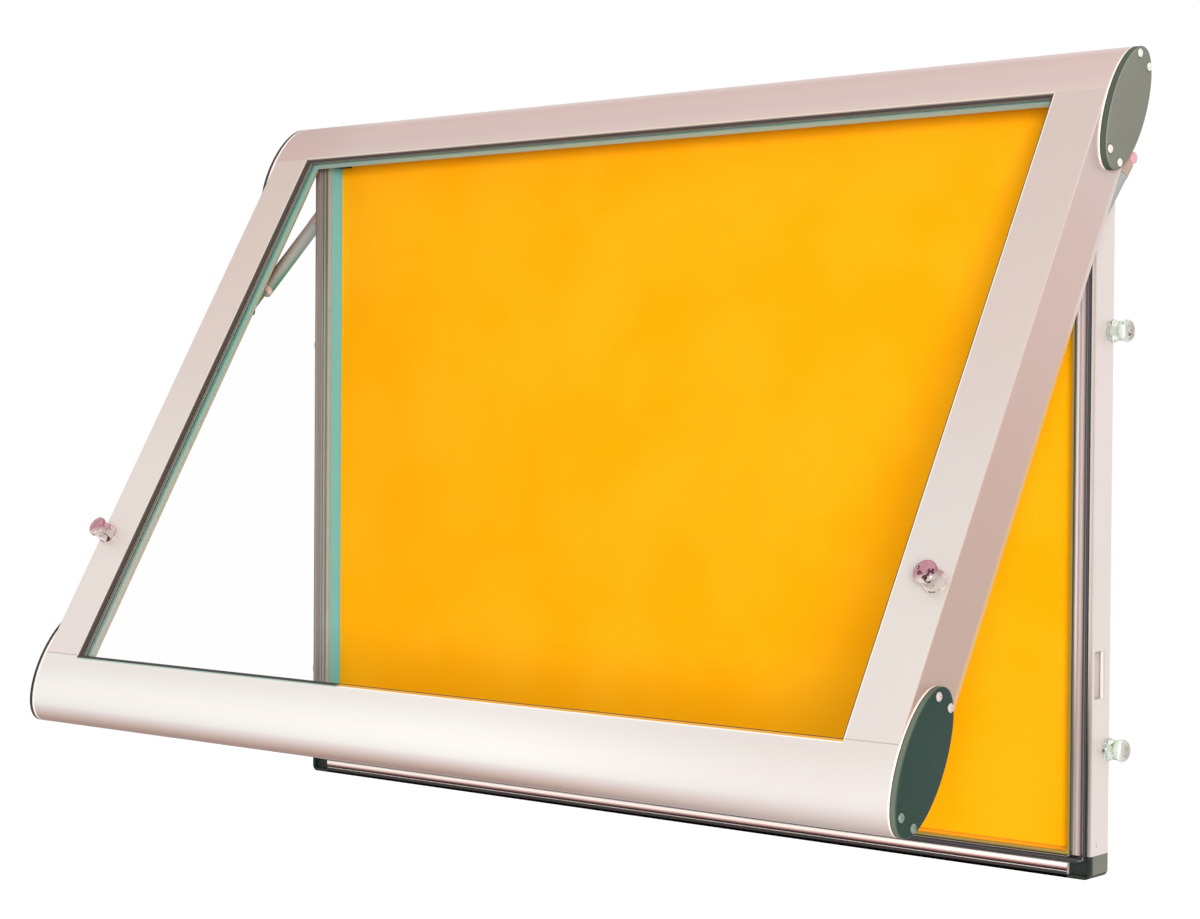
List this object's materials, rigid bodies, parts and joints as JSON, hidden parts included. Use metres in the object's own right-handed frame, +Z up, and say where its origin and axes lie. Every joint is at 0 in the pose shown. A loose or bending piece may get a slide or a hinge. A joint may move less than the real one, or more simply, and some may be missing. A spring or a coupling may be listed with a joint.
{
  "type": "notice board",
  "caption": "Wall notice board in an aluminium case with a felt pinboard; the glazed front is hinged along the top, held open by gas struts and shut by turn locks.",
  "frame": {"origin": "middle of the rectangle of wall screws, on the wall's surface", "axes": "+X to the right as seen from the front, +Y into the wall, +Z up"},
  "size_m": [1.0206, 0.3935, 0.6997],
  "materials": {
    "frame_aluminium": "satin anodised",
    "corner_plastic": "moulded, satin",
    "cap_paint": "painted, satin",
    "seal_rubber": "matt",
    "back_sheet": "matt",
    "felt_board": "felt over soft board",
    "glazing": "clear",
    "clear_knob": "clear moulded",
    "black_plastic": "matt",
    "strut_paint": "satin",
    "strut_chrome": "polished",
    "steel": "zinc plated"
  },
  "bodies": {
    "case": {"back_panel": "back_sheet", "case_bottom_profile": "frame_aluminium", "case_inner_trim": "seal_rubber", "case_left_profile": "frame_aluminium", "case_right_profile": "frame_aluminium", "case_seal": "seal_rubber", "case_top_profile": "frame_aluminium", "corner_bottom_left": "corner_plastic", "corner_bottom_right": "corner_plastic", "corner_screws": "steel", "corner_top_left": "corner_plastic", "corner_top_right": "corner_plastic", "keeper_left": "steel", "keeper_right": "steel", "pinboard": "felt_board", "side_knob_nuts": "steel", "side_knob_studs": "steel", "side_knobs": "clear_knob", "strut_studs": "steel", "wall_spacers": "black_plastic"},
    "door": {"door_bottom_rail": "frame_aluminium", "door_bottom_rail_plugs": "black_plastic", "door_left_stile": "frame_aluminium", "door_right_stile": "frame_aluminium", "door_top_rail": "frame_aluminium", "door_top_rail_plugs": "black_plastic", "end_cap_bottom_left": "cap_paint", "end_cap_bottom_right": "cap_paint", "end_cap_screws": "steel", "end_cap_top_left": "cap_paint", "end_cap_top_right": "cap_paint", "glazing_gasket": "seal_rubber", "glazing_sheet": "glazing", "lock_barrels": "steel", "lock_nuts": "steel", "strut_anchors": "steel"},
    "left_lock": {"left_lock_cam": "steel", "left_lock_cam_nut": "steel", "left_lock_knob": "clear_knob", "left_lock_spindle": "steel"},
    "right_lock": {"right_lock_cam": "steel", "right_lock_cam_nut": "steel", "right_lock_knob": "clear_knob", "right_lock_spindle": "steel"},
    "left_strut_tube_body": {"left_strut_eye": "strut_paint", "left_strut_gland": "steel", "left_strut_tube": "strut_paint"},
    "left_strut_rod_body": {"left_strut_piston": "steel", "left_strut_rod": "strut_chrome"},
    "right_strut_tube_body": {"right_strut_eye": "strut_paint", "right_strut_gland": "steel", "right_strut_tube": "strut_paint"},
    "right_strut_rod_body": {"right_strut_piston": "steel", "right_strut_rod": "strut_chrome"}
  },
  "joints": [
    {"name": "door_hinge", "type": "hinge", "parent": "case", "child": "door", "pos_m": [0, -0.04075, 0.3385], "axis": [-1, 0, 0], "range_deg": [-30.65, 19.35]},
    {"name": "left_lock_turn", "type": "hinge", "parent": "door", "child": "left_lock", "pos_m": [-0.4875, -0.31061, -0.0657], "axis": [0, -0.8603, 0.5098], "range_deg": [0, 90]},
    {"name": "left_strut_swing", "type": "hinge", "parent": "case", "child": "left_strut_tube_body", "pos_m": [-0.487, -0.0175, 0.278], "axis": [-1, 0, 0], "range_deg": [-36.88, 23.32]},
    {"name": "left_strut_slide", "type": "slide", "parent": "left_strut_tube_body", "child": "left_strut_rod_body", "axis": [0, -0.6925, -0.7214], "range_m": [-0.02431, 0.01539]},
    {"name": "right_lock_turn", "type": "hinge", "parent": "door", "child": "right_lock", "pos_m": [0.4875, -0.31061, -0.0657], "axis": [0, 0.8603, -0.5098], "range_deg": [0, 90]},
    {"name": "right_strut_swing", "type": "hinge", "parent": "case", "child": "right_strut_tube_body", "pos_m": [0.487, -0.0175, 0.278], "axis": [-1, 0, 0], "range_deg": [-36.88, 23.32]},
    {"name": "right_strut_slide", "type": "slide", "parent": "right_strut_tube_body", "child": "right_strut_rod_body", "axis": [0, -0.6925, -0.7214], "range_m": [-0.02431, 0.01539]}
  ],
  "couplings": [
    {"joint": "left_strut_swing", "follows": "door_hinge", "ratio": 1.2},
    {"joint": "left_strut_slide", "follows": "door_hinge", "m_per_rad": 0.045264},
    {"joint": "right_strut_swing", "follows": "door_hinge", "ratio": 1.2},
    {"joint": "right_strut_slide", "follows": "door_hinge", "m_per_rad": 0.045264}
  ]
}
